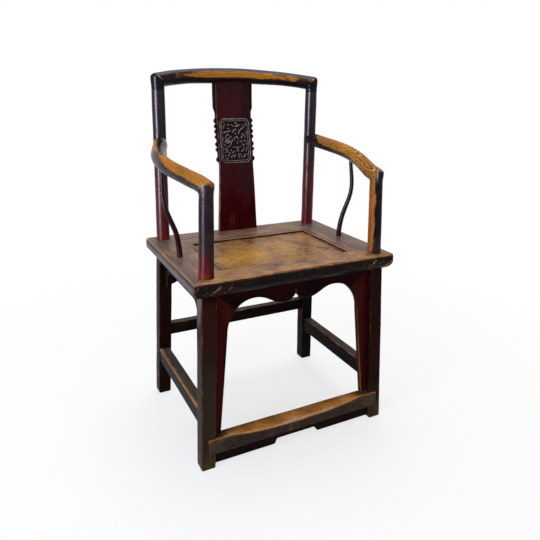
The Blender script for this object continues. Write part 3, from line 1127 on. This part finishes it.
# The rail is fuller under its middle than at its ends.
x = grid[..., 0]
belly = smooth(190, 60, np.abs(x))
grid[..., 2] -= belly * (1.3 + 2.9 * smooth(0.5, -0.9, facing[..., 2]))

# Bare gold in a band along the front, a pale streak at the left mitre, lacquer past the right one.
front = facing @ np.array([0, -0.985, 0.17])
band = front - 0.91 + 0.012 * ripple(grid, 90, 82)
wear = 0.46 + 4.5 * band + 0.12 * smooth(140, 200, x) - 0.2 * smooth(-60, -180, x)
wear = wear - 0.9 * smooth(-185, -215, x)
mitre = unit(heading + down)
from_mitre = (grid * flip - corner_of_rail) @ mitre
forward = smooth(0.1, 0.7, facing @ np.array([-0.2, -0.9, 0.4]))
streak = bell(from_mitre, 3.0) * forward * (x < -200)
past_mitre = smooth(-2, 2, (grid - corner_of_rail) @ mitre) * (x > 200)
wear = wear + 1.25 * streak - 1.5 * past_mitre
tone = 0.06 + 0.06 * ripple(grid, 50, 83)
rail_gold = [(0.0, "#241004"), (0.22, "#703a07"), (0.42, "#a96507"), (0.7, "#c47b16"), (1.0, "#da9a3a")]
# Elm burnished by hands to a clear gold, with a sharp narrow gleam, between ragged borders of black lacquer.
rail_elm = aged_elm("top rail, golden elm under black lacquer", "X", (215, 930), post_film, rail_gold,
                    rings=4.2, gloss=0.22, flecks=0.72, shine=0.06, drag=0.07, figure=0.9)
skin("top_rail_timber", grid, "worn_elm", rail_elm, ["top_rail"], wear=wear, tone=tone)


# ---- arms and their spindles ----
# Bowed elm arms, fish-mouthed over the back posts and turned down onto the front ones, worn golden on top and
# inside. A slender S-curved spindle, pegged at both ends, stands under each in crimson lacquer.
arm_start, arm_bow = np.array([246.11, 180.8, 811.0]), 43.5
arm_gold = [(0.0, "#1c0c03"), (0.16, "#512909"), (0.36, "#94570f"), (0.64, "#b2741d"), (1.0, "#d09538")]
arm_film = [(0.0, "#0d080a"), (0.25, "#1e1415"), (0.5, "#4a3f42"), (0.75, "#6d6468"), (1.0, "#b9afae")]


def arm_axis(t):
    """Middle of the right arm, from the back post (0) to the front corner (1)."""
    line = arm_start + (corner_of_arm - arm_start) * t[:, None]
    line[:, 0] += arm_bow * np.sin(math.pi * np.clip(t, 0, 1) ** 0.89) ** 1.5
    return line


straight_from = 0.935
arm_heading = unit(np.diff(arm_axis(np.array([straight_from, 1.0])), axis=0)[0])
arm_down = unit(np.array([neck_x, -neck_y, seat_top]) - corner_of_arm)
end_rings, end_faces = elbow(corner_of_arm, arm_heading, arm_down, pipe_radius, front_head_radius, arm_joint,
                             pipe_around)
t = steps(0, straight_from, 0.012)
axis = arm_axis(t)
straight = corner_of_arm - arm_heading * ((corner_of_arm[1] - axis[:, 1]) / arm_heading[1])[:, None]
pull = smooth(0.84, 0.93, t)[:, None]
axis = axis * (1 - pull) + straight * pull
start_way = axis[1] - axis[0]
axis = np.concatenate([[axis[0] - 0.2 * start_way], axis])
swollen = 18.3 + 1.7 * smooth(1, 10, distance_along(axis))
body_rings, body_faces = pipe(axis, swollen, around=pipe_around)
grid = np.concatenate([body_rings, end_rings])
facing = np.concatenate([body_faces, end_faces])
grid += facing * (0.35 * ripple(grid, 100, 91) - 0.3)[..., None]

# Where a point lies on either arm: how far back, past the mitre, on its ridge, inside, and on its cap.
back_share = smooth(150, 20, grid[..., 1])
far_back = smooth(20, 120, grid[..., 1])
elbow_part = smooth(-158, -172, grid[..., 1])
mitre = unit(arm_heading + arm_down)
from_mitre = (grid - corner_of_arm) @ mitre
past_mitre = smooth(-1.5, 1.5, from_mitre) * (grid[..., 1] < -150)
ridge = bell(from_mitre, 1.8) * smooth(0.0, 0.5, facing[..., 2] - facing[..., 1])
inner = facing[..., 1] * 0.22 - facing[..., 0] * 0.97
cap = smooth(743, 755, grid[..., 2])
for side, name in ((1, "right"), (-1, "left")):
    placed = grid * (side, 1, 1)
    # The left arm is worn on top and greyed outside, the right one on its top and inner side.
    if side < 0:
        worn_face = facing[..., 0] * (0.1 + 0.6 * far_back) + facing[..., 2] * (0.95 - 0.2 * far_back)
        limit = 0.93 - 0.66 * smooth(40, -120, grid[..., 1])
        steep, bare_elbow, plain = 2.2 + 2.4 * far_back, 0.3 * inner - 0.05 + 0.56 * cap, 0.27
        rubbed = 0.8 * smooth(0.86, 0.98, facing @ np.array([0.672, -0.673, 0.0]))
    else:
        worn_face = facing @ np.array([-0.5, 0, 0.87])
        limit = 0.36 + 0.8 * smooth(100, 160, grid[..., 1])
        steep, bare_elbow, plain = 2.2, 1.6 * inner - 0.36 + 0.3 * cap, 0.2
        rubbed = bell(inner - 0.28, 0.16)
    wear = 0.46 + steep * (worn_face - limit + 0.05 * ripple(placed, 70, 92 + side))
    wear = wear + (bare_elbow - wear) * past_mitre
    tone = 0.22 + 0.12 * ripple(placed, 60, 94) + 0.1 * back_share
    if side < 0:
        outer_grey = smooth(0.2, 0.9, facing[..., 0]) * smooth(-120, 90, grid[..., 1])
        tone = tone + 0.3 * outer_grey
        tone = tone + 0.55 * smooth(130, 160, grid[..., 1]) * smooth(0.2, -0.3, facing[..., 0])
    beside_gold = rubbed * past_mitre * smooth(722, 744, grid[..., 2])
    at_elbow = plain + (1 - plain) * np.maximum(ridge, beside_gold)
    tone = tone * (1 - elbow_part) + at_elbow * elbow_part
    # Growth rings run clear along the right arm and faint along the left, under old black lacquer.
    pith, rings, figure, ragged = ((320, 650), 2.6, 1.15, 1.2) if side > 0 else ((-130, 652), 3.4, 0.3, 1.5)
    arm_elm = aged_elm(f"{name} arm, golden elm under black lacquer", "Y", pith, arm_film, arm_gold,
                       rings=rings, gloss=0.22, flecks=0.7, shine=0.06, drag=0.12, figure=figure,
                       ragged=ragged)
    skin(f"arm_{name}_timber", placed, "worn_elm", arm_elm, [f"arm_{name}"], wear=np.clip(wear, -0.2, 1.1),
         tone=tone)

# The spindles' pegs are in the CAD model only; each skin starts just under the seat's top.
spindle_foot, spindle_head = np.array([257.4, 1.0, seat_top]), np.array([290.3, 11.0, 780.0])
spindle_radius, spindle_taper = 7.75, 2.5
# Places along the S-curve: share of the height, then of the way outward and of the way back.
bends = np.array([
    (0.0, 0.0, 0.0), (0.07, 0.01, 0.05), (0.15, 0.08, 0.0), (0.26, 0.24, -0.2), (0.38, 0.57, -0.3),
    (0.48, 0.86, -0.35), (0.57, 1.05, -0.2), (0.66, 1.13, 0.1), (0.77, 1.12, 0.55), (0.88, 1.06, 0.85),
    (1.0, 1.0, 1.0)])
share = steps(0, 0.985, 0.014)
travel = spindle_head - spindle_foot
outward = travel[0] * through(bends[:, 0], bends[:, 1], share)
backward = travel[1] * through(bends[:, 0], bends[:, 2], share)
axis = spindle_foot + np.stack([outward, backward, travel[2] * share], -1)
axis[0, 2] -= 2.0
grid, facing = pipe(axis, spindle_radius - spindle_taper * share, upward=(1, 0, 0), around=20)
spindle_film = [(0.0, "#150f11"), (0.3, "#200b12"), (0.55, "#2c070d"), (0.8, "#34080c"), (1.0, "#5c1a18")]
# Crimson lacquer kept whole, redder at its foot, with one long thin gleam down each spindle.
spindle_lacquer = aged_elm("crimson lacquer on the spindles", "Z", (250, 40), spindle_film, splat_bare,
                           gloss=0.3, shine=0.06)
for side, name in ((1, "right"), (-1, "left")):
    placed = grid * (side, 1, 1)
    tone = 0.15 + 0.5 * smooth(680, 545, grid[..., 2]) + 0.1 * ripple(placed, 60, 97)
    skin(f"spindle_{name}", placed, "red_lacquer", spindle_lacquer, [f"arm_spindle_{name}"], wear=0.1,
         tone=tone)
